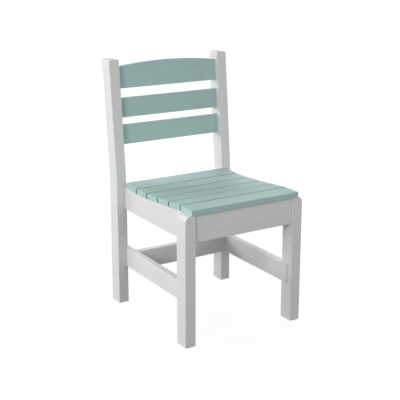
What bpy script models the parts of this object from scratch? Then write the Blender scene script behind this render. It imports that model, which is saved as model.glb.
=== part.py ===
"""Side chair of solid boards: two bent back posts, two front legs, rails and stretchers
let into them, six seat slats on scooped rails and three back slats housed in the posts.

Run it with blender --background --python part.py, or from Blender's text editor.
Units are metres, +Z is up, the chair faces -Y, and left means -X, as seen from the front.
The origin is on the floor, under the middle of the chair's outer box.
"""

import math

import bmesh
import bpy
from mathutils import Matrix

# Boards
LEG_WIDTH = 0.038           # front legs and back posts, across the chair
LEG_DEPTH = 0.054           # front legs and back posts, front to back
RAIL_THICKNESS = 0.024      # seat rails, apron and stretchers
SLAT_THICKNESS = 0.019      # seat and back slats
SLAT_WIDTH = 0.0683         # seat slats, and the two lower back slats
FRAME_ROUND = 0.003         # rounded edges of the frame boards
SLAT_ROUND = 0.002          # rounded edges of the slats
FIT_GAP = 0.0003            # left between pieces that touch

# Seat
SEAT_WIDTH = 0.4106         # slat length, which is also across the outer faces of the rails
SEAT_HEIGHT = 0.457         # top of the front slat
SEAT_OVERHANG = 0.005       # front slat ahead of the front legs
SLAT_SPACING = 0.005        # open gap between seat slats
SLAT_TILTS = (0.0, -4.7, -4.3, -3.4, -0.8, 5.0)   # degrees, front slat first, + rises to the rear

# Front legs and apron
LEG_HOUSING = 0.0173        # how deep the rails are let into the legs
LEG_TOP_ROUND = 0.020       # radius of the outer top corner
APRON_SETBACK = 0.007       # apron behind the front faces of the legs
RAIL_DEPTH = 0.0915         # height of the apron and of the rails' front ends

# Back posts
POST_HOUSING = 0.0078       # how deep the rails are let into the posts
SEAT_TO_POST = 0.0150       # last seat slat to the posts' front faces
POST_LEAN = 5.34            # degrees that the upper post leans back
BEND_BELOW_SEAT = 0.0025    # front edge of the bend, below the front of the seat
RAIL_END_COVER = 0.011      # post left behind the ends of the rails and stretchers
REAR_RAIL_DEPTH = 0.0735    # height of the hidden rail under the last slat

# Stretchers
STRETCHER_HEIGHT = 0.066
STRETCHER_BOTTOM = 0.1355   # above the floor
STRETCHER_INSET = 0.0013    # stretcher's outer face, inside the rail's outer face
STRETCHER_LAP = 0.0355      # length let into the front leg
REAR_STRETCHER_GAP = 0.029  # rear stretcher to the posts' front faces

# Back slats, measured along the leaning post from its bend
BACK_START = 0.1192         # underside of the lower slat
BACK_LOWER_GAP = 0.0243     # lower to middle slat
BACK_UPPER_GAP = 0.0321     # middle to top slat
TOP_SLAT_END = 0.0746       # height of the top slat where it meets the posts
TOP_SLAT_RISE = 0.0132      # how far its arch rises above its ends
POST_ABOVE_SLAT = 0.0245    # post above the ends of the top slat
SLAT_TENON = 0.010          # back slats let into the posts

# Blind pins, all of one size, half in either piece of a joint
PIN_DIAMETER = 0.008
PIN_COVER = 0.0064          # slat left over a pin's hole
PIN_END_GAP = 0.0006        # spare depth at each end of a pin's hole
PIN_SPREAD = 0.032          # between the two pins of a butt joint

# Finishes, as colour, roughness and metallic value
WHITE_BOARD = ((0.80, 0.80, 0.79), 0.5, 0.0)
SAGE_BOARD = ((0.44, 0.63, 0.61), 0.5, 0.0)
PIN_STEEL = ((0.55, 0.55, 0.54), 0.35, 1.0)

# Fineness of the curved surfaces
ARC_SEGMENTS = 8            # corner of a front leg
ARCH_SEGMENTS = 20          # upper edge of the top slat
EDGE_SEGMENTS = 2           # rounded edge of a board
PIN_SIDES = 16
SHARP_ANGLE = math.radians(30)      # edges that turn more than this are corners
FLAT_ANGLE = math.radians(0.5)      # faces that turn less than this are one face
WELD_DISTANCE = 0.000001

SIDES = {"left": -1, "right": 1}

# Places across the chair, as distances from its middle
rail_outer = SEAT_WIDTH / 2
rail_inner = rail_outer - RAIL_THICKNESS
leg_inner = rail_outer - LEG_HOUSING
leg_outer = leg_inner + LEG_WIDTH
post_inner = rail_outer - POST_HOUSING
post_outer = post_inner + LEG_WIDTH
stretcher_outer = rail_outer - STRETCHER_INSET
stretcher_inner = stretcher_outer - RAIL_THICKNESS
pin_length = 2 * (SLAT_THICKNESS - PIN_COVER - PIN_END_GAP)

# Heights
slat_underside = SEAT_HEIGHT - SLAT_THICKNESS
leg_top = slat_underside - FIT_GAP
rail_bottom = leg_top - RAIL_DEPTH
stretcher_top = STRETCHER_BOTTOM + STRETCHER_HEIGHT
bend_height = SEAT_HEIGHT - BEND_BELOW_SEAT
lean = math.radians(POST_LEAN)


def seat_lines():
    """Return the top line of each seat slat as (front y, front z, tilt), front slat first.

    Here y runs back from the front faces of the legs. Each slat starts one gap past the
    end of the slat before it, in that slat's own direction.
    """
    lines = []
    y, z = -SEAT_OVERHANG, SEAT_HEIGHT
    for degrees in SLAT_TILTS:
        tilt = math.radians(degrees)
        lines.append((y, z, tilt))
        step = SLAT_WIDTH + SLAT_SPACING
        y += step * math.cos(tilt)
        z += step * math.sin(tilt)
    return lines


seat = seat_lines()
last_y, last_z, last_tilt = seat[-1]
seat_rear = last_y + SLAT_WIDTH * math.cos(last_tilt)
post_front = seat_rear + SEAT_TO_POST
post_rear = post_front + LEG_DEPTH
rail_end = post_rear - RAIL_END_COVER
rail_start = APRON_SETBACK + RAIL_THICKNESS + FIT_GAP
stretcher_start = LEG_DEPTH - STRETCHER_LAP
rear_stretcher_rear = post_front - REAR_STRETCHER_GAP

# Along the leaning post, from its bend
middle_start = BACK_START + SLAT_WIDTH + BACK_LOWER_GAP
top_start = middle_start + SLAT_WIDTH + BACK_UPPER_GAP
post_length = top_start + TOP_SLAT_END + POST_ABOVE_SLAT
post_top = bend_height + post_length * math.cos(lean)
post_top_front = post_front + post_length * math.sin(lean)
post_top_rear = post_top_front + LEG_DEPTH / math.cos(lean)

# The chair's outer box runs from the front slat to the tops of the posts
middle_y = (post_top_rear - SEAT_OVERHANG) / 2


def remove_everything():
    """Empty the scene."""
    for old in list(bpy.data.objects):
        bpy.data.objects.remove(old, do_unlink=True)


def make_material(name, color, roughness, metallic):
    """Return a Principled material."""
    material = bpy.data.materials.new(name)
    material.use_nodes = True
    shader = material.node_tree.nodes["Principled BSDF"]
    shader.inputs["Base Color"].default_value = (*color, 1.0)
    shader.inputs["Roughness"].default_value = roughness
    shader.inputs["Metallic"].default_value = metallic
    return material


def add_object(name, mesh, collection, parent):
    """Link a new object for a mesh, under the chair's empty."""
    item = bpy.data.objects.new(name, mesh)
    collection.objects.link(item)
    item.parent = parent
    return item


def block(name, low, high, collection, parent):
    """Rectangular block between two corners, centred on its own origin."""
    size = [b - a for a, b in zip(low, high)]
    centre = [(a + b) / 2 for a, b in zip(low, high)]
    bm = bmesh.new()
    bmesh.ops.create_cube(bm, size=1.0)
    bmesh.ops.scale(bm, vec=size, verts=bm.verts)
    mesh = bpy.data.meshes.new(name)
    bm.to_mesh(mesh)
    bm.free()
    item = add_object(name, mesh, collection, parent)
    item.location = centre
    return item


def outline_solid(name, points, low, high, axis, collection, parent):
    """Flat outline with a thickness, from low to high along the axis "x" or "y".

    Points are (y, z) for axis x, and (x, z) for axis y.
    """
    curve = bpy.data.curves.new(name + "_outline", "CURVE")
    curve.dimensions = "2D"
    curve.fill_mode = "BOTH"
    curve.extrude = (high - low) / 2
    spline = curve.splines.new("POLY")
    spline.points.add(len(points) - 1)
    for point, (a, b) in zip(spline.points, points):
        point.co = (a, b, 0.0, 1.0)
    spline.use_cyclic_u = True
    drawn = add_object(name + "_outline", curve, collection, parent)
    middle = (low + high) / 2
    if axis == "x":
        drawn.matrix_basis = Matrix(((0, 0, 1, middle), (1, 0, 0, 0), (0, 1, 0, 0), (0, 0, 0, 1)))
    else:
        drawn.matrix_basis = Matrix(((1, 0, 0, 0), (0, 0, -1, middle), (0, 1, 0, 0), (0, 0, 0, 1)))
    graph = bpy.context.evaluated_depsgraph_get()
    mesh = bpy.data.meshes.new_from_object(drawn.evaluated_get(graph))
    mesh.name = name
    bm = bmesh.new()
    bm.from_mesh(mesh)
    bmesh.ops.remove_doubles(bm, verts=bm.verts, dist=WELD_DISTANCE)
    bmesh.ops.dissolve_limit(bm, angle_limit=FLAT_ANGLE, verts=bm.verts, edges=bm.edges)
    bmesh.ops.recalc_face_normals(bm, faces=bm.faces)
    bm.to_mesh(mesh)
    bm.free()
    item = add_object(name, mesh, collection, parent)
    item.matrix_basis = drawn.matrix_basis.copy()
    bpy.data.objects.remove(drawn, do_unlink=True)
    return item


def cylinder(bm, radius, length, place):
    """Add a closed cylinder along the Z axis of a placing matrix."""
    bmesh.ops.create_cone(bm, cap_ends=True, segments=PIN_SIDES, radius1=radius, radius2=radius,
                          depth=length, matrix=place)


def pin_mesh(material):
    """One blind pin, which every pin object shares."""
    bm = bmesh.new()
    cylinder(bm, PIN_DIAMETER / 2, pin_length, Matrix.Identity(4))
    mesh = bpy.data.meshes.new("pin")
    bm.to_mesh(mesh)
    bm.free()
    mesh.shade_smooth()
    mesh.set_sharp_from_angle(angle=SHARP_ANGLE)
    mesh.materials.append(material)
    return mesh


def round_edges(item, radius):
    """Round the board's long and end edges."""
    bevel = item.modifiers.new("rounded_edges", "BEVEL")
    bevel.width = radius
    bevel.segments = EDGE_SEGMENTS
    bevel.limit_method = "ANGLE"
    bevel.angle_limit = SHARP_ANGLE


def cut(item, cutter):
    """Take a cutter's shape out of a piece."""
    boolean = item.modifiers.new(cutter.name, "BOOLEAN")
    boolean.operation = "DIFFERENCE"
    boolean.solver = "EXACT"
    boolean.object = cutter


class Chair:
    """The chair's collections, its empty and its finishes, with one method for each kind of piece."""

    def __init__(self):
        self.parts = bpy.data.collections.new("side_chair")
        self.cutters = bpy.data.collections.new("cutters")
        for collection in (self.parts, self.cutters):
            bpy.context.scene.collection.children.link(collection)
        self.base = bpy.data.objects.new("chair_base", None)
        self.parts.objects.link(self.base)
        self.base.location = (0.0, -middle_y, 0.0)
        self.white = make_material("white_board", *WHITE_BOARD)
        self.sage = make_material("sage_board", *SAGE_BOARD)
        self.pin = pin_mesh(make_material("pin_steel", *PIN_STEEL))
        self.pieces = {}

    def finish(self, item, material, radius):
        """Give a board its own copy of a finish and its rounded edges, and keep it by name."""
        own = material.copy()
        own.name = item.name + "_" + material.name
        item.data.materials.append(own)
        round_edges(item, radius)
        self.pieces[item.name] = item
        return item

    def board(self, name, low, high, material, radius):
        """Straight board between two corners."""
        return self.finish(block(name, low, high, self.parts, self.base), material, radius)

    def shaped_board(self, name, points, low, high, axis, material, radius):
        """Board with a drawn outline."""
        item = outline_solid(name, points, low, high, axis, self.parts, self.base)
        return self.finish(item, material, radius)

    def hidden(self, cutter):
        """Mark a cutter as one."""
        cutter.hide_render = True
        cutter.display_type = "WIRE"
        return cutter

    def block_cutter(self, name, low, high):
        """Rectangular cutter between two corners."""
        return self.hidden(block(name, low, high, self.cutters, self.base))

    def shaped_cutter(self, name, points, low, high, axis):
        """Cutter with a drawn outline."""
        return self.hidden(outline_solid(name, points, low, high, axis, self.cutters, self.base))

    def pins(self, group, places, pieces):
        """Pins at named places, and the blind holes for them in every piece that they enter.

        A hole is a fit gap wider than its pin all round, and longer by the end gap at both ends.
        """
        bm = bmesh.new()
        for name, place in places.items():
            pin = add_object(name, self.pin, self.parts, self.base)
            pin.matrix_basis = place
            cylinder(bm, PIN_DIAMETER / 2 + FIT_GAP, pin_length + 2 * PIN_END_GAP, place)
        mesh = bpy.data.meshes.new(group + "_holes")
        bm.to_mesh(mesh)
        bm.free()
        holes = self.hidden(add_object(mesh.name, mesh, self.cutters, self.base))
        for piece in pieces:
            cut(self.pieces[piece], holes)


def mirrored(side, near, far):
    """Order two distances from the middle as low and high x on one side."""
    return (side * near, side * far) if side > 0 else (side * far, side * near)


def underside_point(line, distance, drop):
    """Point on a seat slat's top line, dropped square to the slat."""
    y, z, tilt = line
    return (y + distance * math.cos(tilt) + drop * math.sin(tilt),
            z + distance * math.sin(tilt) - drop * math.cos(tilt))


def fold_point(first, second, drop):
    """Where the undersides of two neighbouring slats would meet.

    The slats' top lines meet at the second slat's start, so their undersides meet on the
    line that halves the angle there.
    """
    turn = (second[2] - first[2]) / 2
    return underside_point((second[0], second[1], first[2] + turn), 0.0, drop / math.cos(turn))


def rail_outline(grow=0.0):
    """Side rail in (y, z): straight below, and above one flat for each slat that rests on it.

    The last flat runs on to the post, and from there the rail's top is level.
    With grow it is the housing for the rail's end, larger by that much all round.
    """
    drop = SLAT_THICKNESS + FIT_GAP - grow
    end = rail_end + grow
    bottom = rail_bottom - grow
    top = [(rail_start - grow, leg_top + grow)]
    top += [fold_point(first, second, drop) for first, second in zip(seat, seat[1:])]
    post_z = underside_point(seat[-1], (post_front - last_y) / math.cos(last_tilt), drop)[1]
    top += [(post_front, post_z), (end, post_z)]
    return [(rail_start - grow, bottom), (end, bottom)] + top[::-1]


def post_outline():
    """Back post in (y, z): upright to the bend, then leaning back, with a level top."""
    rear_bend = bend_height - LEG_DEPTH * math.tan(lean / 2)
    return [(post_front, 0.0), (post_rear, 0.0), (post_rear, rear_bend), (post_top_rear, post_top),
            (post_top_front, post_top), (post_front, bend_height)]


def leg_outline(side):
    """Front leg in (x, z) with its outer top corner rounded over."""
    centre_x = leg_outer - LEG_TOP_ROUND
    centre_z = leg_top - LEG_TOP_ROUND
    points = [(leg_inner, 0.0), (leg_outer, 0.0)]
    for step in range(ARC_SEGMENTS + 1):
        angle = math.pi / 2 * step / ARC_SEGMENTS
        points.append((centre_x + LEG_TOP_ROUND * math.cos(angle),
                       centre_z + LEG_TOP_ROUND * math.sin(angle)))
    points.append((leg_inner, leg_top))
    return [(side * x, z) for x, z in points]


def top_slat_outline(grow=0.0):
    """Top back slat in (x, z from its underside), its upper edge an arc of a circle.

    The arc passes through the posts' faces at the end height and rises to the middle.
    """
    half = post_inner
    radius = (half ** 2 + TOP_SLAT_RISE ** 2) / (2 * TOP_SLAT_RISE)
    centre = TOP_SLAT_END + TOP_SLAT_RISE - radius
    reach = half + SLAT_TENON + grow
    points = [(-reach, -grow), (reach, -grow)]
    for step in range(ARCH_SEGMENTS + 1):
        x = reach * (1 - 2 * step / ARCH_SEGMENTS)
        points.append((x, centre + math.sqrt((radius + grow) ** 2 - x ** 2)))
    return points


def place_on_post(item, along):
    """Lean a back slat with the posts, centred in their depth, its underside so far up from the bend."""
    bend = Matrix.Translation((0.0, post_front, bend_height)) @ Matrix.Rotation(-lean, 4, "X")
    item.matrix_basis = bend @ Matrix.Translation((0.0, LEG_DEPTH / 2, along)) @ item.matrix_basis


def make_uprights(chair):
    """Front legs and back posts."""
    for word, side in SIDES.items():
        chair.shaped_board("front_leg_" + word, leg_outline(side), 0.0, LEG_DEPTH, "y",
                           chair.white, FRAME_ROUND)
        low, high = mirrored(side, post_inner, post_outer)
        chair.shaped_board("back_post_" + word, post_outline(), low, high, "x", chair.white, FRAME_ROUND)


def make_rails(chair):
    """Scooped side rails, each let into a leg and a post, the apron and the hidden rear rail."""
    apron_end = leg_inner - FIT_GAP
    chair.board("front_apron", (-apron_end, APRON_SETBACK, rail_bottom),
                (apron_end, APRON_SETBACK + RAIL_THICKNESS, leg_top), chair.white, FRAME_ROUND)
    for word, side in SIDES.items():
        low, high = mirrored(side, rail_inner, rail_outer)
        chair.shaped_board("seat_rail_" + word, rail_outline(), low, high, "x", chair.white, FRAME_ROUND)
        low, high = mirrored(side, leg_inner - FRAME_ROUND, rail_outer + FIT_GAP)
        leg_cut = chair.block_cutter("leg_housing_" + word,
                                     (low, rail_start - FIT_GAP, rail_bottom - FIT_GAP),
                                     (high, LEG_DEPTH + FRAME_ROUND, leg_top + FRAME_ROUND))
        cut(chair.pieces["front_leg_" + word], leg_cut)
        low, high = mirrored(side, rail_inner - FIT_GAP, rail_outer + FIT_GAP)
        post_cut = chair.shaped_cutter("post_housing_" + word, rail_outline(FIT_GAP), low, high, "x")
        cut(chair.pieces["back_post_" + word], post_cut)
    rear_end = rail_inner - FIT_GAP
    chair.board("rear_seat_rail", (-rear_end, post_front, rail_bottom),
                (rear_end, post_front + RAIL_THICKNESS, rail_bottom + REAR_RAIL_DEPTH),
                chair.white, FRAME_ROUND)


def make_stretchers(chair):
    """Side stretchers, let into the legs and posts, and the rear stretcher between them."""
    start, end = stretcher_start, rail_end
    for word, side in SIDES.items():
        low, high = mirrored(side, stretcher_inner, stretcher_outer)
        chair.board("side_stretcher_" + word, (low, start, STRETCHER_BOTTOM), (high, end, stretcher_top),
                    chair.white, FRAME_ROUND)
        low, high = mirrored(side, stretcher_inner - FIT_GAP, stretcher_outer + FIT_GAP)
        housing = chair.block_cutter("stretcher_housing_" + word,
                                     (low, start - FIT_GAP, STRETCHER_BOTTOM - FIT_GAP),
                                     (high, end + FIT_GAP, stretcher_top + FIT_GAP))
        for piece in ("front_leg_", "back_post_"):
            cut(chair.pieces[piece + word], housing)
    reach = stretcher_inner - FIT_GAP
    chair.board("rear_stretcher", (-reach, rear_stretcher_rear - RAIL_THICKNESS, STRETCHER_BOTTOM),
                (reach, rear_stretcher_rear, stretcher_top), chair.white, FRAME_ROUND)


def make_seat(chair):
    """Seat slats, each lying at its own tilt on the rails' flats."""
    half = SEAT_WIDTH / 2
    for number, (y, z, tilt) in enumerate(seat, start=1):
        slat = chair.board(f"seat_slat_{number}", (-half, 0.0, -SLAT_THICKNESS), (half, SLAT_WIDTH, 0.0),
                           chair.sage, SLAT_ROUND)
        place = Matrix.Translation((0.0, y, z)) @ Matrix.Rotation(tilt, 4, "X")
        slat.matrix_basis = place @ slat.matrix_basis


def make_back(chair):
    """Back slats housed in the posts: two straight ones and the arched top one."""
    reach = post_inner + SLAT_TENON
    half = SLAT_THICKNESS / 2
    for name, along in (("back_slat_lower", BACK_START), ("back_slat_middle", middle_start)):
        slat = chair.board(name, (-reach, -half, 0.0), (reach, half, SLAT_WIDTH), chair.sage, SLAT_ROUND)
        place_on_post(slat, along)
        mortise = chair.block_cutter(name + "_mortises", (-reach - FIT_GAP, -half - FIT_GAP, -FIT_GAP),
                                     (reach + FIT_GAP, half + FIT_GAP, SLAT_WIDTH + FIT_GAP))
        place_on_post(mortise, along)
        for word in SIDES:
            cut(chair.pieces["back_post_" + word], mortise)
    name = "back_slat_top"
    slat = chair.shaped_board(name, top_slat_outline(), -half, half, "y", chair.sage, SLAT_ROUND)
    place_on_post(slat, top_start)
    mortise = chair.shaped_cutter(name + "_mortises", top_slat_outline(FIT_GAP), -half - FIT_GAP,
                                  half + FIT_GAP, "y")
    place_on_post(mortise, top_start)
    for word in SIDES:
        cut(chair.pieces["back_post_" + word], mortise)


def pin_across(side, x, y, z):
    """Placing matrix of a pin that lies along X, on one side of the chair."""
    return Matrix.Translation((side * x, y, z)) @ Matrix.Rotation(math.pi / 2, 4, "Y")


def slat_pin(side, line):
    """Placing matrix of a slat's pin, square to the slat, midway along its bearing on the rail."""
    bearing = max(rail_start - line[0], 0.0)
    y, z = underside_point(line, (bearing + SLAT_WIDTH) / 2, SLAT_THICKNESS)
    middle = (rail_inner + rail_outer) / 2
    return Matrix.Translation((side * middle, y, z)) @ Matrix.Rotation(line[2], 4, "X")


def make_pins(chair):
    """Blind pins, half in either piece of a joint: one where a board is housed, two where it butts."""
    rail_z = rail_bottom + REAR_RAIL_DEPTH / 2
    stretcher_z = STRETCHER_BOTTOM + STRETCHER_HEIGHT / 2
    housed_rail = {"front": (rail_start + LEG_DEPTH) / 2,
                   "rear": (post_front + RAIL_THICKNESS + rail_end) / 2}
    housed_stretcher = {"front": (stretcher_start + LEG_DEPTH) / 2,
                        "rear": (post_front + rail_end) / 2}
    butted = {"apron": (leg_inner, APRON_SETBACK + RAIL_THICKNESS / 2, rail_z),
              "rear_rail": (rail_inner, post_front + RAIL_THICKNESS / 2, rail_z),
              "rear_stretcher": (stretcher_inner, rear_stretcher_rear - RAIL_THICKNESS / 2, stretcher_z)}
    heights = {"upper": PIN_SPREAD / 2, "lower": -PIN_SPREAD / 2}
    frame, slats = {}, {}
    for word, side in SIDES.items():
        for end, y in housed_rail.items():
            frame[f"rail_pin_{word}_{end}"] = pin_across(side, rail_outer, y, rail_z)
        for end, y in housed_stretcher.items():
            frame[f"stretcher_pin_{word}_{end}"] = pin_across(side, stretcher_outer, y, stretcher_z)
        for joint, (x, y, z) in butted.items():
            for place, rise in heights.items():
                frame[f"{joint}_pin_{word}_{place}"] = pin_across(side, x, y, z + rise)
        for number, line in enumerate(seat, start=1):
            slats[f"slat_pin_{word}_{number}"] = slat_pin(side, line)
    boards = ["front_leg_", "back_post_", "seat_rail_", "side_stretcher_"]
    paired = [board + word for board in boards for word in SIDES]
    chair.pins("frame_pin", frame, paired + ["front_apron", "rear_seat_rail", "rear_stretcher"])
    rails = ["seat_rail_" + word for word in SIDES]
    chair.pins("slat_pin", slats, rails + [f"seat_slat_{number}" for number in range(1, len(seat) + 1)])


def main():
    """Build the chair."""
    remove_everything()
    chair = Chair()
    make_uprights(chair)
    make_rails(chair)
    make_stretchers(chair)
    make_seat(chair)
    make_back(chair)
    make_pins(chair)


main()
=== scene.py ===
"""Looks of a side chair of solid poly-lumber boards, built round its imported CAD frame.

Every board of the frame is shown by a finer board of the same place and size: an outline with
eased corners, an edge profile carried round it, and housings cut where one board is let into
another. The blind pins stay as the frame has them, with a drawn-steel finish.
Units are metres, +Z is up, the chair faces -Y, and left means -X, as seen from the front.
"""

import logging
import math
from dataclasses import dataclass, field
from enum import Enum

import bpy
import numpy as np
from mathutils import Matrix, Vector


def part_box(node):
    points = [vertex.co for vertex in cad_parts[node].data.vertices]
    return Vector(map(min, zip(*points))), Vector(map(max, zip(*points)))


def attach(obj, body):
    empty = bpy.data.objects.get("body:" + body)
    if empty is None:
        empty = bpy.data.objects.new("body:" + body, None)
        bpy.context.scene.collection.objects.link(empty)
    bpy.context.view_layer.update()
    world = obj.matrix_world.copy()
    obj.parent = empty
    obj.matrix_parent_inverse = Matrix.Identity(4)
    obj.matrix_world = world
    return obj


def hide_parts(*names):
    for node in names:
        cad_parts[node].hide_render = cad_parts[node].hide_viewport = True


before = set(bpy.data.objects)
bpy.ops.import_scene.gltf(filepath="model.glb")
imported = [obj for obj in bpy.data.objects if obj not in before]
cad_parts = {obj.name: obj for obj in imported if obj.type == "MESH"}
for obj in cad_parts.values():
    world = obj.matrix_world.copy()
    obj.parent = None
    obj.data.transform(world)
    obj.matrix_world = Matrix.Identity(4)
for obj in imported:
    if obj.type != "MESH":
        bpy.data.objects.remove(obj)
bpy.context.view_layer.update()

log = logging.getLogger("side_chair")

BODY = "root"
MILLIMETRES = 1000.0    # in a metre
MIDDLE = 0.5            # of a share from 0 to 1

FRAME_ROUNDING = 0.0022     # of the white boards' edges
SLAT_ROUNDING = 0.0015      # and of the sage ones
SLAT_WIDTH = 0.0683
SLAT_THICKNESS = 0.019

EDGE_STEPS = 5          # facets across the rounded edge of a board
CORNER_STEPS = 6        # facets round an eased corner of an outline
CORNER_EASE = 1.3       # length over which a square corner is eased, over the edge's rounding
SMALLEST_TURN = 1e-6    # radians, so that a straight corner has a finite arc
HOUSING_CLEARANCE = 0.0006      # left all round a board that is let into another
SHARP_ANGLE = math.radians(38)  # edges that turn more than this are corners
LARGE_FACE_WEIGHT = 100         # of 100, so that a flat face sets the normals along its edges
TONE_STEP = 0.618034    # golden share, so that boards made one after another differ in tone

MIX_COLORS = (6, 7)     # numbers of a Mix node's colour inputs, whose names others have too
MIX_RESULT = 2          # and of its colour output

Color = tuple[float, float, float]
Key = int | str         # number or name of a node's input or output


class Side(Enum):
    """The two sides of the chair, as they stand in the names of the frame's nodes."""

    LEFT = "left"
    RIGHT = "right"


class Slot(Enum):
    """The record's material slots."""

    WHITE = "white_board"
    SAGE = "sage_board"
    PIN = "pin_steel"


class Value:
    """A number on a node's socket. Python's arithmetic on it adds Math nodes."""

    def __init__(self, bench: "Bench", socket: bpy.types.NodeSocket) -> None:
        """Keep the socket and the bench that adds nodes."""
        self.bench = bench
        self.socket = socket

    def math(self, operation: str, *others: "Value | float") -> "Value":
        """Math node on this value and others."""
        return self.bench.math(operation, self, *others)

    def __add__(self, other: "Value | float") -> "Value":
        """Sum."""
        return self.math("ADD", other)

    __radd__ = __add__

    def __sub__(self, other: "Value | float") -> "Value":
        """Difference."""
        return self.math("SUBTRACT", other)

    def __rsub__(self, other: float) -> "Value":
        """A number less this value."""
        return self.bench.math("SUBTRACT", other, self)

    def __mul__(self, other: "Value | float") -> "Value":
        """Product."""
        return self.math("MULTIPLY", other)

    __rmul__ = __mul__

    def swing(self) -> "Value":
        """A share from 0 to 1 turned into a swing from -0.5 to 0.5."""
        return self - MIDDLE

    def smaller(self, other: "Value | float") -> "Value":
        """The smaller of two values."""
        return self.math("MINIMUM", other)

    def larger(self, other: "Value | float") -> "Value":
        """The larger of two values."""
        return self.math("MAXIMUM", other)

    def fade(self, start: float, end: float) -> "Value":
        """Smooth step that is 1 up to a start and 0 from an end on."""
        limits = {"From Min": start, "From Max": end, "To Min": 1.0, "To Max": 0.0, "Value": self}
        return self.bench.value("ShaderNodeMapRange", {"interpolation_type": "SMOOTHSTEP"}, limits)


class Bench:
    """The node tree of a material or a world, with one method that makes any node."""

    def __init__(self, owner: bpy.types.Material | bpy.types.World) -> None:
        """Start with an empty tree.

        Args:
            owner: the new material or world.
        """
        owner.use_nodes = True
        self.owner = owner
        self.tree = owner.node_tree
        self.tree.nodes.clear()

    def node(self, kind: str, settings: dict[str, object],
             sockets: dict[Key, object]) -> bpy.types.Node:
        """Make a node.

        Args:
            kind: the node's type.
            settings: its properties, which are set first.
            sockets: values or links of its inputs, by name or number.

        Returns:
            The node.
        """
        made = self.tree.nodes.new(kind)
        for key, setting in settings.items():
            setattr(made, key, setting)
        for key, given in sockets.items():
            if isinstance(given, Value):
                self.tree.links.new(given.socket, made.inputs[key])
            elif isinstance(given, bpy.types.NodeSocket):
                self.tree.links.new(given, made.inputs[key])
            else:
                made.inputs[key].default_value = given
        return made

    def value(self, kind: str, settings: dict[str, object], sockets: dict[Key, object],
              output: Key = 0) -> Value:
        """Make a node and wrap one of its outputs as a number."""
        return Value(self, self.node(kind, settings, sockets).outputs[output])

    def math(self, operation: str, *operands: "Value | float") -> Value:
        """Math node of an operation on its operands in order."""
        return self.value("ShaderNodeMath", {"operation": operation}, dict(enumerate(operands)))

    def vector(self, operation: str, *operands: object) -> bpy.types.NodeSocket:
        """Vector Math node of an operation on its operands in order."""
        sockets = dict(enumerate(operands))
        return self.node("ShaderNodeVectorMath", {"operation": operation}, sockets).outputs[0]

    def parts(self, vector: bpy.types.NodeSocket) -> list[Value]:
        """The three parts of a vector."""
        split = self.node("ShaderNodeSeparateXYZ", {}, {0: vector})
        return [Value(self, part) for part in split.outputs]

    def carried(self, name: str, output: str = "Vector") -> bpy.types.NodeSocket:
        """An attribute that the piece carries on its points."""
        return self.node("ShaderNodeAttribute", {"attribute_name": name}, {}).outputs[output]

    def share(self, name: str) -> Value:
        """An attribute that is one number from 0 to 1."""
        return Value(self, self.carried(name, "Fac"))

    def noise(self, coordinates: bpy.types.NodeSocket, grain: "Grain") -> Value:
        """Noise on coordinates that are multiplied by the grain's stretch.

        Args:
            coordinates: where each point is, in metres.
            grain: the stretch and the detail.

        Returns:
            A number from 0 to 1.
        """
        place = self.vector("MULTIPLY", coordinates, grain.stretch)
        sockets = {"Vector": place, "Scale": 1.0, "Detail": grain.detail}
        return self.value("ShaderNodeTexNoise", {}, sockets)

    def blend(self, share: Value, first: object, second: object) -> bpy.types.NodeSocket:
        """Mix two colours.

        Args:
            share: 0 for the first colour, 1 for the second.
            first: a colour, or the link of one.
            second: a colour, or the link of one.

        Returns:
            Link of the mixed colour.
        """
        sockets = {"Factor": share}
        for number, color in zip(MIX_COLORS, (first, second)):
            sockets[number] = (*color, 1.0) if isinstance(color, tuple) else color
        settings = {"data_type": "RGBA", "clamp_factor": True}
        return self.node("ShaderNodeMix", settings, sockets).outputs[MIX_RESULT]

    def relief(self, height: Value, strength: float, depth: float) -> bpy.types.NodeSocket:
        """Normal of a relief whose height goes from 0 to 1 over a depth."""
        sockets = {"Strength": strength, "Distance": depth, "Height": height}
        return self.node("ShaderNodeBump", {}, sockets).outputs[0]

    def finish(self, shader: bpy.types.Node,
               output: str = "ShaderNodeOutputMaterial") -> bpy.types.Material | bpy.types.World:
        """Link the shader to an output node and return what the tree belongs to."""
        self.node(output, {}, {"Surface": shader.outputs[0]})
        return self.owner


@dataclass(frozen=True)
class Grain:
    """One noise of a finish, and how far it moves the tint, the relief and the roughness."""

    stretch: tuple[float, float, float]     # features in a metre, along each axis
    detail: float
    tint: float = 0.0
    height: float = 0.0
    rough: float = 0.0


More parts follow.
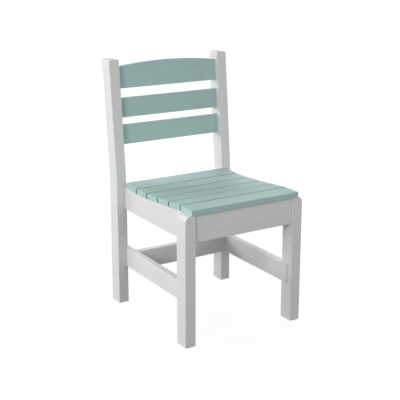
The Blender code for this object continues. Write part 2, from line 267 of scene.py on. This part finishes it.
@dataclass(frozen=True)
class BoardFinish:
    """Poly lumber: coloured through, satin, with fine drawn lines along the board.

    The boards carry their own coordinates, so the lines run along each one. The edges, which
    the cutter has closed up, are a little smoother than the faces, and a little paler: partly the
    cutter's closed skin, partly a painted highlight along the rounded edges. The cut ends show the
    saw's fine marks. The walls deep in a gap between two slats are darkened with painted shade.
    """

    slot: Slot
    color: Color
    spread: float                   # how far the colour strays either way, as a share of it
    roughness: float = 0.58
    ior: float = 1.47
    specular: float = 0.35
    relief: float = 0.00022         # depth of the drawn lines
    relief_strength: float = 0.55
    gap_shade_color: float = 0.62         # share of the colour left under the painted shade deep in a gap
    tone_tint: float = 0.35         # how far a board's own tone moves the tint
    tone_shift: tuple[float, float, float] = (13.0, 5.0, 7.0)   # metres that it moves the noises
    edge_fade: tuple[float, float] = (0.0004, 0.0045)           # distances from an edge
    # paler edges: partly the cutter's closed skin, partly a painted highlight along the rounded edges
    edge_skin_and_highlight: float = 0.3
    edge_rough: float = -0.06
    end_fade: tuple[float, float] = (0.0002, 0.0010)            # distances from a cut end
    end_rough: float = 0.06
    lines: Grain = Grain((7.0, 330.0, 330.0), 3.0, tint=0.5, height=0.55, rough=0.10)
    bands: Grain = Grain((2.5, 55.0, 55.0), 2.0, tint=0.55)
    clouds: Grain = Grain((16.0, 22.0, 22.0), 3.0, tint=0.5, height=0.15, rough=0.14)
    grit: Grain = Grain((900.0, 1700.0, 1700.0), 1.0, height=0.3)
    saw: Grain = Grain((20.0, 60.0, 1500.0), 1.0, height=0.6)

    def build(self) -> bpy.types.Material:
        """Make the finish.

        Returns:
            The material.
        """
        bench = Bench(bpy.data.materials.new(self.slot.value + "_finish"))
        board = bench.carried("board")
        # A point's distances to the three pairs of faces, the cut ends first. It lies on one of
        # the pairs, so the middle distance is how far the nearest edge is.
        x, y, z = bench.parts(bench.vector("SUBTRACT", bench.carried("half"),
                                           bench.vector("ABSOLUTE", board)))
        end = x.fade(*self.end_fade)
        edge = self.middle(x, y, z).fade(*self.edge_fade)
        tone = bench.share("tone")
        place = bench.vector("ADD", board, bench.vector("MULTIPLY", tone, self.tone_shift))
        grains = (self.lines, self.bands, self.clouds, self.grit, self.saw)
        lines, bands, clouds, grit, saw = (bench.noise(place, grain) for grain in grains)
        # The edge term makes edges paler: partly their closed skin, partly painted highlight.
        tint = (lines.swing() * self.lines.tint + bands.swing() * self.bands.tint
                + clouds.swing() * self.clouds.tint + tone.swing() * self.tone_tint
                + edge * self.edge_skin_and_highlight + MIDDLE)
        height = (lines * self.lines.height + clouds * self.clouds.height
                  + grit * self.grit.height + saw * end * self.saw.height)
        rough = (lines.swing() * self.lines.rough + clouds.swing() * self.clouds.rough
                 + edge * self.edge_rough + end * self.end_rough + self.roughness)
        clean = bench.blend(tint, self.shade(1 - self.spread), self.shade(1 + self.spread))
        # Deep in a gap between slats the colour is darkened: painted shade.
        color = bench.blend(bench.share("gap"), clean, self.shade(self.gap_shade_color))
        return bench.finish(bench.node("ShaderNodeBsdfPrincipled", {}, {
            "Base Color": color, "Roughness": rough, "IOR": self.ior,
            "Specular IOR Level": self.specular,
            "Normal": bench.relief(height, self.relief_strength, self.relief)}))

    def shade(self, share: float) -> Color:
        """The colour made darker or lighter by a share."""
        return tuple(min(part * share, 1.0) for part in self.color)

    @staticmethod
    def middle(x: Value, y: Value, z: Value) -> Value:
        """The middle one of three values: the larger of min(x, y) and min(max(x, y), z)."""
        return x.smaller(y).larger(x.larger(y).smaller(z))


@dataclass(frozen=True)
class PinFinish:
    """Steel drawn along the pin: fine lines round it from the die, and a soft shine."""

    slot: Slot
    color: Color = (0.56, 0.56, 0.55)
    stain_color: Color = (0.4816, 0.4816, 0.473)
    roughness: float = 0.34
    relief: float = 0.00004
    relief_strength: float = 0.4
    lines: Grain = Grain((2400.0, 500.0, 500.0), 3.0, rough=0.2)
    stain: Grain = Grain((70.0, 70.0, 70.0), 2.0)

    def build(self) -> bpy.types.Material:
        """Make the finish.

        Returns:
            The material.
        """
        bench = Bench(bpy.data.materials.new(self.slot.value + "_finish"))
        place = bench.node("ShaderNodeTexCoord", {}, {}).outputs["Object"]
        lines = bench.noise(place, self.lines)
        color = bench.blend(bench.noise(place, self.stain), self.stain_color, self.color)
        return bench.finish(bench.node("ShaderNodeBsdfPrincipled", {}, {
            "Base Color": color, "Metallic": 1.0,
            "Roughness": lines.swing() * self.lines.rough + self.roughness,
            "Normal": bench.relief(lines, self.relief_strength, self.relief)}))


@dataclass(frozen=True)
class Plane:
    """Where a board's outline lies.

    Its length runs along u, its width along v and its thickness along w, which is u cross v.
    """

    u: tuple[float, float, float]
    v: tuple[float, float, float]
    origin: tuple[float, float, float] = (0.0, 0.0, 0.0)

    @property
    def axes(self) -> np.ndarray:
        """The three unit axes as rows."""
        u, v = np.array(self.u, float), np.array(self.v, float)
        return np.array([u, v, np.cross(u, v)])

    def world(self, local: np.ndarray) -> np.ndarray:
        """Points of the row frame from points along the axes."""
        return local @ self.axes + np.array(self.origin)

    def local(self, points: np.ndarray) -> np.ndarray:
        """Points along the axes from points of the row frame."""
        return (points - np.array(self.origin)) @ self.axes.T

    def span(self, node: str) -> tuple[np.ndarray, np.ndarray]:
        """Lowest and highest (u, v, w) of a node's box, on a plane square to the frame."""
        corners = self.local(np.array([list(corner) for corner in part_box(node)]))
        return corners.min(0), corners.max(0)


ALONG_X = Plane((1.0, 0.0, 0.0), (0.0, 0.0, 1.0))
ALONG_Y = Plane((0.0, 1.0, 0.0), (0.0, 0.0, 1.0))
UP_WIDE_X = Plane((0.0, 0.0, 1.0), (1.0, 0.0, 0.0))
UP_WIDE_Y = Plane((0.0, 0.0, 1.0), (0.0, 1.0, 0.0))


@dataclass
class Board:
    """A board with an outline of two long sides that have as many corners as each other.

    Corners are (u, v). The first half runs along the low side of v from the board's start to
    its end, and the second half runs back along the high side.
    """

    name: str
    slot: Slot
    plane: Plane
    corners: np.ndarray
    ease: np.ndarray            # length over which each corner is eased into an arc
    low: float                  # where its two faces are along w
    high: float
    rounding: float             # of its edges
    steps: int = CORNER_STEPS
    near_gap: bool = False      # the low long side faces another slat across a narrow gap
    far_gap: bool = False       # and so does the high one
    let_in: list["Board"] = field(default_factory=list)     # boards that it has housings for

    def ring(self) -> tuple[np.ndarray, np.ndarray]:
        """Outline with each corner eased into an arc of a circle.

        At a corner P the edge comes in along the unit vector a and turns by the angle t. Eased
        over a length e, the arc at a share s of the turn is at
        P - e a + R sin(s t) a + R (1 - cos(s t)) n, where n is a turned left by a right angle
        and R = e / tan(t / 2). Its outward direction is -n cos(s t) + a sin(s t).

        Returns:
            Points and outward directions, both as rows of (u, v).
        """
        before = self.corners - np.roll(self.corners, 1, axis=0)
        after = np.roll(self.corners, -1, axis=0) - self.corners
        a = before / np.linalg.norm(before, axis=1, keepdims=True)
        b = after / np.linalg.norm(after, axis=1, keepdims=True)
        turn = np.arctan2(a[:, 0] * b[:, 1] - a[:, 1] * b[:, 0], (a * b).sum(1))
        turn = np.where(np.abs(turn) < SMALLEST_TURN, SMALLEST_TURN, turn)
        n = np.stack([-a[:, 1], a[:, 0]], axis=1)
        radius = (self.ease / np.tan(turn / 2))[:, None, None]
        angle = (turn[:, None] * np.linspace(0.0, 1.0, self.steps + 1))[..., None]
        start = (self.corners - self.ease[:, None] * a)[:, None]
        a, n = a[:, None], n[:, None]
        points = start + radius * np.sin(angle) * a + radius * (1 - np.cos(angle)) * n
        outward = np.sin(angle) * a - np.cos(angle) * n
        return points.reshape(-1, 2), outward.reshape(-1, 2)

    def surface(self, grow: float = 0.0) -> tuple[np.ndarray, np.ndarray]:
        """Edge profile carried round the outline, and a ladder of faces across either side.

        With q from nothing to a right angle, the profile leaves the low face at an inset of
        r (1 - sin q) and a height of r (1 - cos q), r being the rounding, runs up the edge, and
        closes in again the same way at the high face. Each side face is a ladder whose rungs
        join the outline's points j and M - 1 - j, M being their number.

        Args:
            grow: how much larger to make the board all round.

        Returns:
            Points of the row frame, and faces as rows of four point numbers.
        """
        ring, outward = self.ring()
        quarter = np.linspace(0.0, math.pi / 2, EDGE_STEPS + 1)
        inset = self.rounding * (1 - np.sin(quarter)) - grow
        rise = self.rounding * (1 - np.cos(quarter)) - grow
        insets = np.concatenate([inset, inset[::-1]])
        levels = np.concatenate([self.low + rise, self.high - rise[::-1]])
        flat = ring[None] - insets[:, None, None] * outward[None]
        level = np.broadcast_to(levels[:, None, None], flat.shape[:2] + (1,))
        points = self.plane.world(np.concatenate([flat, level], axis=2).reshape(-1, 3))
        count, rings = len(ring), len(levels)
        at = np.arange(count * (rings - 1)).reshape(rings - 1, count)
        beside = np.roll(at, -1, axis=1)
        edges = np.stack([at, beside, beside + count, at + count], axis=2).reshape(-1, 4)
        j = np.arange(count // 2 - 1)
        low_face = np.stack([j, count - 1 - j, count - 2 - j, j + 1], axis=1)
        high_face = np.stack([j, j + 1, count - 2 - j, count - 1 - j], axis=1) + count * (rings - 1)
        return points, np.concatenate([edges, low_face, high_face])

    def coordinates(self, points: np.ndarray) -> tuple[np.ndarray, np.ndarray]:
        """A board's own coordinates, from its middle: along it, across it and through it.

        The middle line and the half width at u are halfway between, and half of, the two long
        sides there, so the lines of the finish follow a bent or a scooped board.

        Args:
            points: points of the row frame.

        Returns:
            The coordinates, and the half sizes in the same order, for each point.
        """
        local = self.plane.local(points)
        half_count = len(self.corners) // 2
        near, far = self.corners[:half_count], self.corners[half_count:][::-1]
        low_side = np.interp(local[:, 0], near[:, 0], near[:, 1])
        high_side = np.interp(local[:, 0], far[:, 0], far[:, 1])
        start, end = self.corners[:, 0].min(), self.corners[:, 0].max()
        board = local - np.stack([np.full(len(local), (start + end) / 2), (low_side + high_side) / 2,
                                  np.full(len(local), (self.low + self.high) / 2)], axis=1)
        half = np.stack([np.full(len(local), (end - start) / 2), (high_side - low_side) / 2,
                         np.full(len(local), (self.high - self.low) / 2)], axis=1)
        return board, half

    def shaded(self, board: np.ndarray, half: np.ndarray) -> np.ndarray:
        """Share of painted shade, from 0 on the face to 1 past the rounding, by which each point is
        inside a gap.

        The depth into the gap is how far the point is round the edge profile, which is its
        distance to the board's face over the rounding, and it counts only within a rounding of
        a long side that faces a gap.

        Args:
            board: the points' own coordinates.
            half: the half sizes at the points.

        Returns:
            One share for each point.
        """
        round_edge = np.clip((half[:, 2] - np.abs(board[:, 2])) / self.rounding, 0.0, 1.0)
        beside = np.abs(board[:, 1]) > half[:, 1] - self.rounding
        faces_gap = np.where(board[:, 1] < 0, self.near_gap, self.far_gap)
        return round_edge * beside * faces_gap


def rectangle(u_low: float, u_high: float, v_low: float, v_high: float) -> np.ndarray:
    """Corners of a straight board's outline."""
    return np.array([(u_low, v_low), (u_high, v_low), (u_high, v_high), (u_low, v_high)])


def outline(base: float, high_side: np.ndarray) -> np.ndarray:
    """Outline with a straight low side.

    Args:
        base: where the low side is along v.
        high_side: corners of the high side, from the board's start to its end.

    Returns:
        The outline's corners.
    """
    low_side = np.stack([high_side[:, 0], np.full(len(high_side), base)], axis=1)
    return np.concatenate([low_side, high_side[::-1]])


def eases(count: int, rounding: float, fold: float = 0.0) -> np.ndarray:
    """Lengths over which an outline's corners are eased.

    Args:
        count: corners of each long side.
        rounding: of the board's edges, which the ends of the long sides follow.
        fold: length for the corners between the ends.

    Returns:
        One length for each corner of the outline.
    """
    side = np.full(count, fold)
    side[[0, -1]] = rounding * CORNER_EASE
    return np.concatenate([side, side])


def straight(name: str, plane: Plane, rounding: float, steps: int = CORNER_STEPS) -> Board:
    """A straight white board of its node's size.

    Args:
        name: the node's name.
        plane: a plane square to the frame.
        rounding: of the board's edges.
        steps: facets round a corner of its outline.

    Returns:
        The board.
    """
    low, high = plane.span(name)
    return Board(name, Slot.WHITE, plane, rectangle(low[0], high[0], low[1], high[1]),
                 eases(2, rounding), low[2], high[2], rounding, steps)


def points_of(mesh: bpy.types.Mesh) -> np.ndarray:
    """Read a mesh's points.

    Args:
        mesh: the mesh.

    Returns:
        The points as rows.
    """
    points = np.empty(len(mesh.vertices) * 3)
    mesh.vertices.foreach_get("co", points)
    return points.reshape(-1, 3)


def add_object(name: str, data: bpy.types.ID) -> bpy.types.Object:
    """Add an object to the scene.

    Args:
        name: the object's name.
        data: its mesh, light or camera.

    Returns:
        The object.
    """
    item = bpy.data.objects.new(name, data)
    bpy.context.scene.collection.objects.link(item)
    return item


def add_mesh(name: str, points: np.ndarray, faces: np.ndarray) -> bpy.types.Object:
    """Add an object with a new mesh to the scene.

    Args:
        name: the object's name, and the mesh's.
        points: the mesh's points as rows.
        faces: rows of point numbers.

    Returns:
        The object.
    """
    mesh = bpy.data.meshes.new(name)
    mesh.from_pydata(points.tolist(), [], faces.tolist())
    return add_object(name, mesh)


class Workshop:
    """Turns boards into dressed pieces that ride on the frame."""

    def __init__(self, finishes: dict[Slot, bpy.types.Material]) -> None:
        """Keep the finishes and start with no pieces."""
        self.finishes = finishes
        self.made: list[str] = []

    @staticmethod
    def apply_modifiers(item: bpy.types.Object) -> None:
        """Apply an object's modifiers to its mesh.

        Args:
            item: the object, whose mesh is replaced.
        """
        graph = bpy.context.evaluated_depsgraph_get()
        done = bpy.data.meshes.new_from_object(item.evaluated_get(graph))
        item.modifiers.clear()
        old, item.data = item.data, done
        bpy.data.meshes.remove(old)

    def cut(self, item: bpy.types.Object, board: Board) -> None:
        """Cut the housings for the boards that are let into a piece.

        Args:
            item: the piece.
            board: its board.
        """
        cutters = []
        for number, let_in in enumerate(board.let_in):
            name = f"{board.name}_housing_{number}"
            cutter = add_mesh(name, *let_in.surface(HOUSING_CLEARANCE))
            boolean = item.modifiers.new(name, "BOOLEAN")
            boolean.operation = "DIFFERENCE"
            boolean.solver = "EXACT"
            boolean.object = cutter
            cutters.append(cutter)
        self.apply_modifiers(item)
        for cutter in cutters:
            shape = cutter.data
            bpy.data.objects.remove(cutter)
            bpy.data.meshes.remove(shape)

    def smooth(self, item: bpy.types.Object) -> None:
        """Shade round edges smoothly and keep cut edges crisp and flat faces flat.

        Args:
            item: the piece.
        """
        item.data.shade_smooth()
        item.data.set_sharp_from_angle(angle=SHARP_ANGLE)
        weighted = item.modifiers.new("flat_faces", "WEIGHTED_NORMAL")
        weighted.mode = "FACE_AREA"
        weighted.weight = LARGE_FACE_WEIGHT
        weighted.keep_sharp = True
        self.apply_modifiers(item)

    def write(self, mesh: bpy.types.Mesh, board: Board) -> None:
        """Write the board's own coordinates, half sizes, tone and painted gap-shade shares on its
        points.

        Args:
            mesh: the piece's mesh.
            board: its board.
        """
        own, half = board.coordinates(points_of(mesh))
        for name, vectors in (("board", own), ("half", half)):
            layer = mesh.attributes.new(name, "FLOAT_VECTOR", "POINT")
            layer.data.foreach_set("vector", vectors.ravel())
        tones = np.full(len(own), (len(self.made) * TONE_STEP) % 1.0)
        # gap: share of painted shade deep in a gap between two slats
        for name, values in (("tone", tones), ("gap", board.shaded(own, half))):
            mesh.attributes.new(name, "FLOAT", "POINT").data.foreach_set("value", values)

    def make(self, board: Board) -> None:
        """Build a board's piece in place of its node.

        Args:
            board: the board, named as the frame's node.
        """
        item = add_mesh(board.name + "_board", *board.surface())
        if board.let_in:
            self.cut(item, board)
        self.smooth(item)
        self.write(item.data, board)
        item.data.materials.clear()
        item.data.materials.append(self.finishes[board.slot])
        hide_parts(board.name)
        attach(item, BODY)
        self.report(item, board)
        self.made.append(board.name)

    def report(self, item: bpy.types.Object, board: Board) -> None:
        """Log a piece and how far its box is from its node's.

        Args:
            item: the piece.
            board: its board.
        """
        points = points_of(item.data)
        own = np.array([points.min(0), points.max(0)])
        node = np.array([list(corner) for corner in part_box(board.name)])
        log.info("%s: %d faces, box within %.2f mm of its node's", item.name,
                 len(item.data.polygons), np.abs(own - node).max() * MILLIMETRES)


@dataclass(frozen=True)
class PostShape:
    """How the back posts bend and lean, which the rails and the back slats follow."""

    lean: float = math.radians(5.34)
    below_seat: float = 0.0025      # front bend, below the top of the front slat
    depth: float = 0.054

    @property
    def bend(self) -> tuple[float, float]:
        """Front bend of the posts as (y, z)."""
        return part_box("back_post_left")[0].y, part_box("seat_slat_1")[1].z - self.below_seat


@dataclass
class Seat:
    """Six slats across the scooped rails, front to back."""

    tilts: tuple[float, ...] = (0.0, -4.7, -4.3, -3.4, -0.8, 5.0)   # degrees, + rises to the rear
    width: float = SLAT_WIDTH
    thickness: float = SLAT_THICKNESS
    spacing: float = 0.005
    rounding: float = SLAT_ROUNDING
    fit_gap: float = 0.0003     # between the slats and the rails

    def lines(self) -> list[tuple[float, float, float]]:
        """Work out where the tops of the slats lie, each one gap past the slat before it.

        Returns:
            The front y, the front z and the tilt of each slat.
        """
        low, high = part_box("seat_slat_1")
        y, z = low.y, high.z
        lines = []
        for degrees in self.tilts:
            tilt = math.radians(degrees)
            lines.append((y, z, tilt))
            y += (self.width + self.spacing) * math.cos(tilt)
            z += (self.width + self.spacing) * math.sin(tilt)
        return lines

    def boards(self) -> list[Board]:
        """Shape the slats.

        Returns:
            The six slats, front to back.
        """
        low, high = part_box("seat_slat_1")
        corners = rectangle(low.x, high.x, 0.0, self.width)
        made = []
        for number, (y, z, tilt) in enumerate(self.lines(), start=1):
            plane = Plane((1.0, 0.0, 0.0), (0.0, math.cos(tilt), math.sin(tilt)), (0.0, y, z))
            made.append(Board(f"seat_slat_{number}", Slot.SAGE, plane, corners,
                              eases(2, self.rounding), -self.thickness, 0.0, self.rounding,
                              near_gap=number > 1, far_gap=number < len(self.tilts)))
        return made

    def rail_top(self, start: float, end: float, post_front: float) -> np.ndarray:
        """Top of a side rail: one flat under each slat, then level inside the post.

        Two flats meet where the undersides of their slats would: on the line that halves the
        angle at the second slat's front top edge, the drop over the cosine of half the turn down.

        Args:
            start: the rail's front end.
            end: its rear end.
            post_front: front face of the posts.

        Returns:
            Points as (y, z), from the front end to the rear end.
        """
        lines = self.lines()
        drop = self.thickness + self.fit_gap
        points = [(start, lines[0][1] - drop)]
        for (_, _, before), (y, z, after) in zip(lines, lines[1:]):
            tilt = (before + after) / 2
            down = drop / math.cos((after - before) / 2)
            points.append((y + down * math.sin(tilt), z - down * math.cos(tilt)))
        y, z, tilt = lines[-1]
        reach = (post_front - y) / math.cos(tilt)
        level = z + reach * math.sin(tilt) - drop * math.cos(tilt)
        points += [(post_front, level), (end, level)]
        return np.array(points)


@dataclass
class SeatFrame:
    """Scooped side rails, the apron and the rear rail under the last slat."""

    seat: Seat
    post: PostShape
    rounding: float = FRAME_ROUNDING
    fold_ease: float = 0.003    # length over which a fold of the rails' tops is eased

    def rail(self, side: Side) -> Board:
        """Shape a side rail.

        Args:
            side: which one.

        Returns:
            The rail, its outline as (y, z).
        """
        name = "seat_rail_" + side.value
        low, high = ALONG_Y.span(name)
        top = self.seat.rail_top(low[0], high[0], self.post.bend[0])
        return Board(name, Slot.WHITE, ALONG_Y, outline(low[1], top),
                     eases(len(top), self.rounding, self.fold_ease), low[2], high[2], self.rounding)

    def boards(self) -> list[Board]:
        """The side rails, the apron and the rear rail."""
        across = [straight(name, ALONG_X, self.rounding) for name in ("front_apron", "rear_seat_rail")]
        return [self.rail(side) for side in Side] + across


@dataclass
class Stretchers:
    """Side stretchers let into the legs and posts, and the rear one between them."""

    rounding: float = FRAME_ROUNDING

    def boards(self) -> list[Board]:
        """The three stretchers."""
        sides = [straight("side_stretcher_" + side.value, ALONG_Y, self.rounding) for side in Side]
        return sides + [straight("rear_stretcher", ALONG_X, self.rounding)]


@dataclass
class Back:
    """Three slats housed in the leaning posts; the top one has an arched upper edge."""

    post: PostShape
    thickness: float = SLAT_THICKNESS
    width: float = SLAT_WIDTH
    rounding: float = SLAT_ROUNDING
    start: float = 0.1192               # bend to the lower slat, along the post
    lower_gap: float = 0.0243
    upper_gap: float = 0.0321
    end_height: float = 0.0746          # top slat where it meets the posts
    rise: float = 0.0132                # its arch above that
    arch_steps: int = 36
    arch_facets: int = 3                # round each of the arch's corners
    arch_ease: float = 0.49             # of a step, so that the eased lengths don't overlap

    def plane(self, along: float) -> Plane:
        """Plane of a slat in the middle of the posts' depth.

        Args:
            along: how far up the post from its bend the slat's lower edge is.

        Returns:
            The plane, whose origin is in the middle of that edge.
        """
        y, z = self.post.bend
        up = (0.0, math.sin(self.post.lean), math.cos(self.post.lean))
        back = self.post.depth / 2
        origin = (0.0, y + along * up[1] + back * up[2], z + along * up[2] - back * up[1])
        return Plane((1.0, 0.0, 0.0), up, origin)

    def arch(self, reach: float, half: float) -> np.ndarray:
        """Upper edge of the top slat: an arc of a circle.

        It meets the posts' faces at c from the middle and at the end height, h below its top, so
        its radius is R = (c c + h h) / (2 h) and at x it is as high as
        end + h - R + sqrt(R R - x x).

        Args:
            reach: half the slat's length.
            half: distance from the middle to the posts' faces.

        Returns:
            Points as (x, height), from one end to the other.
        """
        x = np.linspace(-reach, reach, self.arch_steps + 1)
        radius = (half ** 2 + self.rise ** 2) / (2 * self.rise)
        height = self.end_height + self.rise - radius + np.sqrt(radius ** 2 - x ** 2)
        return np.stack([x, height], axis=1)

    def boards(self) -> list[Board]:
        """Shape the slats.

        Returns:
            The lower, middle and top slat.
        """
        low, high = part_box("back_slat_lower")
        depth = self.thickness / 2
        middle = self.start + self.width + self.lower_gap
        top = middle + self.width + self.upper_gap
        corners = rectangle(low.x, high.x, 0.0, self.width)
        made = [Board(name, Slot.SAGE, self.plane(along), corners, eases(2, self.rounding),
                      -depth, depth, self.rounding)
                for name, along in (("back_slat_lower", self.start), ("back_slat_middle", middle))]
        arch = self.arch(high.x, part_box("back_post_right")[0].x)
        ease = eases(len(arch), self.rounding, self.arch_ease * (arch[1, 0] - arch[0, 0]))
        made.append(Board("back_slat_top", Slot.SAGE, self.plane(top), outline(0.0, arch), ease,
                          -depth, depth, self.rounding, self.arch_facets))
        return made


@dataclass
class Uprights:
    """Front legs with a rounded outer top corner, and bent back posts."""

    post: PostShape
    leg_top_round: float = 0.020
    leg_top_facets: int = 12
    rounding: float = FRAME_ROUNDING
    bend_ease: float = 0.004    # length over which the posts' bend is eased

    def leg(self, side: Side) -> Board:
        """Shape a front leg.

        Args:
            side: which one.

        Returns:
            The leg, its outline as (z, x).
        """
        board = straight("front_leg_" + side.value, UP_WIDE_X, self.rounding, self.leg_top_facets)
        outer_top = 1 if side is Side.LEFT else 2       # the outline's corner there
        board.ease[outer_top] = self.leg_top_round
        return board

    def back_post(self, side: Side) -> Board:
        """Shape a back post.

        Args:
            side: which one.

        Returns:
            The post, its outline as (z, y).
        """
        name = "back_post_" + side.value
        low, high = UP_WIDE_Y.span(name)
        rear = low[1] + self.post.depth
        bend = self.post.bend[1]
        rear_bend = bend - self.post.depth * math.tan(self.post.lean / 2)
        top_front = high[1] - self.post.depth / math.cos(self.post.lean)
        corners = np.array([(0.0, low[1]), (bend, low[1]), (high[0], top_front), (high[0], high[1]),
                            (rear_bend, rear), (0.0, rear)])
        ease = eases(len(corners) // 2, self.rounding, self.bend_ease)
        return Board(name, Slot.WHITE, UP_WIDE_Y, corners, ease, low[2], high[2], self.rounding)

    def boards(self, frame_boards: list[Board], slats: list[Board]) -> list[Board]:
        """Shape the legs and posts.

        Args:
            frame_boards: the rails and stretchers, which are let in on the side that they name.
            slats: the back slats, which are let into both posts.

        Returns:
            A leg and a post for each side.
        """
        made = []
        for side in Side:
            own = [board for board in frame_boards if board.name.endswith(side.value)]
            leg, post = self.leg(side), self.back_post(side)
            leg.let_in = own
            post.let_in = own + slats
            made += [leg, post]
        return made


@dataclass
class Pins:
    """The blind pins, which stay as the frame has them."""

    finish: bpy.types.Material

    def dress(self) -> int:
        """Give every pin its finish.

        Returns:
            How many pins there are.
        """
        names = [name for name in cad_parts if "_pin_" in name]
        for name in names:
            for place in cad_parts[name].material_slots:
                place.material = self.finish
        return len(names)


@dataclass(frozen=True)
class SoftBox:
    """A square soft light, aimed at the chair.

    Its direction is seen from the chair: an azimuth of 0 is in front of it, 90 on its left
    (-X), 180 behind and 270 on its right, and the elevation is above the horizon.
    """

    azimuth: float
    elevation: float
    power: float
    distance: float = 4.0
    size: float = 1.6
    lowest: float = 0.8         # so that a low light stays clear of the floor

    def place(self, target: np.ndarray) -> np.ndarray:
        """Work out where the light stands: its distance from the target, along its direction.

        Args:
            target: the point that it is aimed at.

        Returns:
            Its place.
        """
        turn, rise = math.radians(self.azimuth), math.radians(self.elevation)
        direction = np.array([-math.sin(turn) * math.cos(rise), -math.cos(turn) * math.cos(rise),
                              math.sin(rise)])
        place = target + self.distance * direction
        place[2] = max(place[2], self.lowest)
        return place

    def build(self, target: np.ndarray) -> None:
        """Add the light to the scene.

        Args:
            target: the point that it is aimed at.
        """
        name = f"soft_box_{self.azimuth:.0f}_{self.elevation:.0f}"
        lamp = bpy.data.lights.new(name, "AREA")
        lamp.shape = "SQUARE"
        lamp.size = self.size
        lamp.energy = self.power
        item = add_object(name, lamp)
        place = self.place(target)
        item.location = tuple(place)
        item.rotation_euler = aim(place, target)


def aim(start: np.ndarray, target: np.ndarray) -> tuple[float, float, float]:
    """Turn an object's -Z axis towards a target, with its +Y axis upwards.

    Args:
        start: the object's place.
        target: the point that it is aimed at.

    Returns:
        The three angles of its turn.
    """
    x, y, z = target - start
    across = math.hypot(x, y)
    return math.pi / 2 + math.atan2(z, across), 0.0, math.atan2(-x, y)


@dataclass
class Studio:
    """Pale floor, soft lights and the camera at the photograph's angle."""

    camera_place: tuple[float, float, float] = (-1.588, -2.546, 1.272)
    camera_yaw: float = math.radians(31.56)
    camera_pitch: float = math.radians(15.07)
    focal_length: float = 81.9
    shift: tuple[float, float] = (0.010, -0.05)
    sensor_width: float = 36.0
    floor_size: float = 40.0
    floor_drop: float = 0.0004      # of the floor below the feet
    floor_bounce: float = 0.10      # share of the light that the floor gives back
    floor_glow: float = 0.01        # even light from below
    floor_white: float = 0.925      # what the camera sees on top of the bounce, near the chair
    floor_clear: tuple[float, float] = (0.9, 2.6)   # distance over which it clears to pure white
    floor_roughness: float = 0.9
    aim_height: float = 0.43
    lights: tuple[SoftBox, ...] = (
        SoftBox(0, 22, 26.0),
        SoftBox(60, 4, 17.0),
        SoftBox(60, 22, 53.0),
        SoftBox(105, 4, 49.5),
        SoftBox(120, 64, 19.5),
        SoftBox(150, 22, 70.0),
        SoftBox(210, 22, 18.0),
        SoftBox(210, 42, 34.5),
        SoftBox(240, 22, 47.0),
        SoftBox(270, 4, 51.0),
        SoftBox(315, 4, 30.5),
    )

    @staticmethod
    def seen(bench: Bench) -> Value:
        """1 where the camera looks straight at a surface, and 0 for the light that it gives."""
        return bench.value("ShaderNodeLightPath", {}, {}, "Is Camera Ray")

    def floor(self) -> None:
        """Plain pale floor just under the feet, which gives back less light than it shows."""
        bench = Bench(bpy.data.materials.new("pale_floor"))
        place = bench.node("ShaderNodeTexCoord", {}, {}).outputs["Object"]
        away = bench.value("ShaderNodeVectorMath", {"operation": "LENGTH"}, {0: place}, "Value")
        white = bench.blend(away.fade(*self.floor_clear), (1.0, 1.0, 1.0), (self.floor_white,) * 3)
        shader = bench.node("ShaderNodeBsdfPrincipled", {}, {
            "Base Color": (*[self.floor_bounce] * 3, 1.0), "Roughness": self.floor_roughness,
            "Specular IOR Level": 0.0, "Emission Strength": 1.0,
            "Emission Color": bench.blend(self.seen(bench), (self.floor_glow,) * 3, white)})
        reach = self.floor_size / 2
        corners = rectangle(-reach, reach, -reach, reach)
        points = np.column_stack([corners, np.full(len(corners), -self.floor_drop)])
        item = add_mesh("floor", points, np.arange(len(corners))[None])
        item.data.materials.append(bench.finish(shader))

    def world(self) -> None:
        """A white surround that is seen but gives no light."""
        bench = Bench(bpy.data.worlds.new("studio"))
        sockets = {"Color": (1.0, 1.0, 1.0, 1.0), "Strength": self.seen(bench)}
        surround = bench.node("ShaderNodeBackground", {}, sockets)
        bpy.context.scene.world = bench.finish(surround, "ShaderNodeOutputWorld")

    def camera(self) -> None:
        """The camera, level across, pitched down, with the small shift that the framing needs."""
        lens = bpy.data.cameras.new("camera")
        lens.lens = self.focal_length
        lens.sensor_width = self.sensor_width
        lens.shift_x, lens.shift_y = self.shift
        item = add_object("camera", lens)
        item.location = self.camera_place
        item.rotation_euler = (math.pi / 2 - self.camera_pitch, 0.0, -self.camera_yaw)
        bpy.context.scene.camera = item

    def build(self) -> None:
        """Set up the studio round the chair."""
        target = np.array([0.0, 0.0, self.aim_height])
        self.floor()
        self.world()
        for light in self.lights:
            light.build(target)
        self.camera()
        bpy.context.scene.view_settings.view_transform = "Standard"


def main() -> None:
    """Build the chair's looks in order and report each piece."""
    logging.basicConfig(level=logging.INFO, format="%(message)s")
    finishes = {
        Slot.WHITE: BoardFinish(Slot.WHITE, color=(0.80, 0.80, 0.80), spread=0.032).build(),
        Slot.SAGE: BoardFinish(Slot.SAGE, color=(0.447, 0.632, 0.613), spread=0.06).build(),
        Slot.PIN: PinFinish(Slot.PIN).build(),
    }
    workshop = Workshop(finishes)
    post = PostShape()
    seat = Seat()
    frame_boards = SeatFrame(seat, post).boards() + Stretchers().boards()
    slats = Back(post).boards()
    uprights = Uprights(post).boards(frame_boards, slats)
    for board in uprights + frame_boards + seat.boards() + slats:
        workshop.make(board)
    log.info("%d pins dressed", Pins(finishes[Slot.PIN]).dress())
    Studio().build()


if __name__ == "__main__":
    main()
